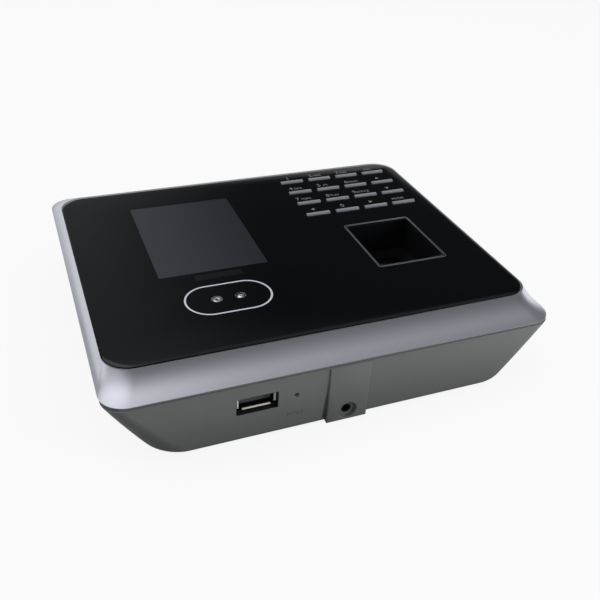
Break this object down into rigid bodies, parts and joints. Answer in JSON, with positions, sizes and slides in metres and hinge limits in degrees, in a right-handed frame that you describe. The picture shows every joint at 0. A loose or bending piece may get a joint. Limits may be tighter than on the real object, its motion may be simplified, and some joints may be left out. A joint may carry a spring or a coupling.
{
  "type": "fingerprint and face access terminal",
  "caption": "Wall terminal with a display, face cameras, a bar keypad and a recessed fingerprint reader in a black panel, a silver bezel and a tapered case on a steel wall plate.",
  "frame": {"origin": "middle of the back plane, which lies on the wall or on the table", "axes": "+X to the right seen from the front, +Y towards the top edge, +Z out of the face"},
  "size_m": [0.1676, 0.1488, 0.033],
  "materials": {
    "black_panel": "polished black acrylic, slightly blue where it reflects light",
    "silver_bezel": "silver-grey metallic paint on moulded plastic, satin to gloss",
    "grey_case": "fine moulded texture, matt dark grey",
    "plate_steel": "zinc-plated sheet steel",
    "black_plastic": "plain moulded",
    "tape": "black foam adhesive tape",
    "screen_window": "dark grey window, display switched off",
    "display_glass": "polariser, grey when off",
    "display_steel": "pressed sheet steel",
    "white_plastic": "white diffuser stack",
    "ribbon_film": "amber film",
    "ring_silver": "satin silver line",
    "lens_window": "clear lens cover",
    "camera_plastic": "moulded lens barrel with a dark lens",
    "board_green": "green solder mask",
    "infrared_window": "dark infrared-pass plastic",
    "led_clear": "clear resin",
    "grey_rubber": "silicone",
    "well_plastic": "satin black moulding",
    "sensor_glass": "dark optical prism",
    "key_plastic": "grey satin bar",
    "shield_steel": "tin-plated can",
    "chip_epoxy": "black epoxy",
    "socket_steel": "nickel-plated shell",
    "tongue_plastic": "dark grey contact carrier",
    "ivory_plastic": "off-white moulding",
    "contact_brass": "gold-plated pins",
    "speaker_body": "frame, paper cone and magnet",
    "cell_steel": "stainless can",
    "black_screw": "blackened steel",
    "steel_screw": "nickel-plated steel"
  },
  "bodies": {
    "housing": {"front_panel": "black_panel", "bezel_frame": "silver_bezel", "rear_case": "grey_case", "wall_plate": "plate_steel", "mid_frame": "black_plastic", "panel_tape": "tape", "screen_window": "screen_window", "display_glass": "display_glass", "display_frame": "display_steel", "display_backlight": "white_plastic", "flat_cables": "ribbon_film", "ring_trim": "ring_silver", "lens_windows": "lens_window", "colour_camera": "camera_plastic", "infrared_camera": "camera_plastic", "camera_board": "board_green", "infrared_window": "infrared_window", "infrared_leds": "led_clear", "led_board": "board_green", "keypad_mat": "grey_rubber", "keypad_board": "board_green", "finger_well": "well_plastic", "sensor_glass": "sensor_glass", "sensor_block": "black_plastic", "sensor_board": "board_green", "main_board": "board_green", "processor_shield": "shield_steel", "board_chips": "chip_epoxy", "usb_shell": "socket_steel", "usb_tongue": "tongue_plastic", "reset_switch": "black_plastic", "tamper_switch": "black_plastic", "network_socket": "black_plastic", "cable_headers": "ivory_plastic", "header_pins": "contact_brass", "speaker": "speaker_body", "coin_cell": "cell_steel", "cell_holder": "black_plastic", "case_screws": "black_screw", "board_screws": "steel_screw"},
    "key_1": {"key_1": "key_plastic"},
    "key_2": {"key_2": "key_plastic"},
    "key_3": {"key_3": "key_plastic"},
    "key_escape": {"key_escape": "key_plastic"},
    "key_4": {"key_4": "key_plastic"},
    "key_5": {"key_5": "key_plastic"},
    "key_6": {"key_6": "key_plastic"},
    "key_up": {"key_up": "key_plastic"},
    "key_7": {"key_7": "key_plastic"},
    "key_8": {"key_8": "key_plastic"},
    "key_9": {"key_9": "key_plastic"},
    "key_down": {"key_down": "key_plastic"},
    "key_left": {"key_left": "key_plastic"},
    "key_0": {"key_0": "key_plastic"},
    "key_right": {"key_right": "key_plastic"},
    "key_ok": {"key_ok": "key_plastic"},
    "reset_plunger": {"reset_plunger": "ivory_plastic"},
    "tamper_plunger": {"tamper_plunger": "ivory_plastic"}
  },
  "joints": [
    {"name": "key_1_press", "type": "slide", "parent": "housing", "child": "key_1", "axis": [0, 0, -1], "range_m": [0, 0.0006], "stiffness_N_per_m": 500},
    {"name": "key_2_press", "type": "slide", "parent": "housing", "child": "key_2", "axis": [0, 0, -1], "range_m": [0, 0.0006], "stiffness_N_per_m": 500},
    {"name": "key_3_press", "type": "slide", "parent": "housing", "child": "key_3", "axis": [0, 0, -1], "range_m": [0, 0.0006], "stiffness_N_per_m": 500},
    {"name": "key_escape_press", "type": "slide", "parent": "housing", "child": "key_escape", "axis": [0, 0, -1], "range_m": [0, 0.0006], "stiffness_N_per_m": 500},
    {"name": "key_4_press", "type": "slide", "parent": "housing", "child": "key_4", "axis": [0, 0, -1], "range_m": [0, 0.0006], "stiffness_N_per_m": 500},
    {"name": "key_5_press", "type": "slide", "parent": "housing", "child": "key_5", "axis": [0, 0, -1], "range_m": [0, 0.0006], "stiffness_N_per_m": 500},
    {"name": "key_6_press", "type": "slide", "parent": "housing", "child": "key_6", "axis": [0, 0, -1], "range_m": [0, 0.0006], "stiffness_N_per_m": 500},
    {"name": "key_up_press", "type": "slide", "parent": "housing", "child": "key_up", "axis": [0, 0, -1], "range_m": [0, 0.0006], "stiffness_N_per_m": 500},
    {"name": "key_7_press", "type": "slide", "parent": "housing", "child": "key_7", "axis": [0, 0, -1], "range_m": [0, 0.0006], "stiffness_N_per_m": 500},
    {"name": "key_8_press", "type": "slide", "parent": "housing", "child": "key_8", "axis": [0, 0, -1], "range_m": [0, 0.0006], "stiffness_N_per_m": 500},
    {"name": "key_9_press", "type": "slide", "parent": "housing", "child": "key_9", "axis": [0, 0, -1], "range_m": [0, 0.0006], "stiffness_N_per_m": 500},
    {"name": "key_down_press", "type": "slide", "parent": "housing", "child": "key_down", "axis": [0, 0, -1], "range_m": [0, 0.0006], "stiffness_N_per_m": 500},
    {"name": "key_left_press", "type": "slide", "parent": "housing", "child": "key_left", "axis": [0, 0, -1], "range_m": [0, 0.0006], "stiffness_N_per_m": 500},
    {"name": "key_0_press", "type": "slide", "parent": "housing", "child": "key_0", "axis": [0, 0, -1], "range_m": [0, 0.0006], "stiffness_N_per_m": 500},
    {"name": "key_right_press", "type": "slide", "parent": "housing", "child": "key_right", "axis": [0, 0, -1], "range_m": [0, 0.0006], "stiffness_N_per_m": 500},
    {"name": "key_ok_press", "type": "slide", "parent": "housing", "child": "key_ok", "axis": [0, 0, -1], "range_m": [0, 0.0006], "stiffness_N_per_m": 500},
    {"name": "reset_press", "type": "slide", "parent": "housing", "child": "reset_plunger", "axis": [0, 1, 0], "range_m": [0, 0.0003], "stiffness_N_per_m": 800},
    {"name": "tamper_press", "type": "slide", "parent": "housing", "child": "tamper_plunger", "axis": [0, 0, 1], "range_m": [0, 0.0005], "stiffness_N_per_m": 300}
  ]
}
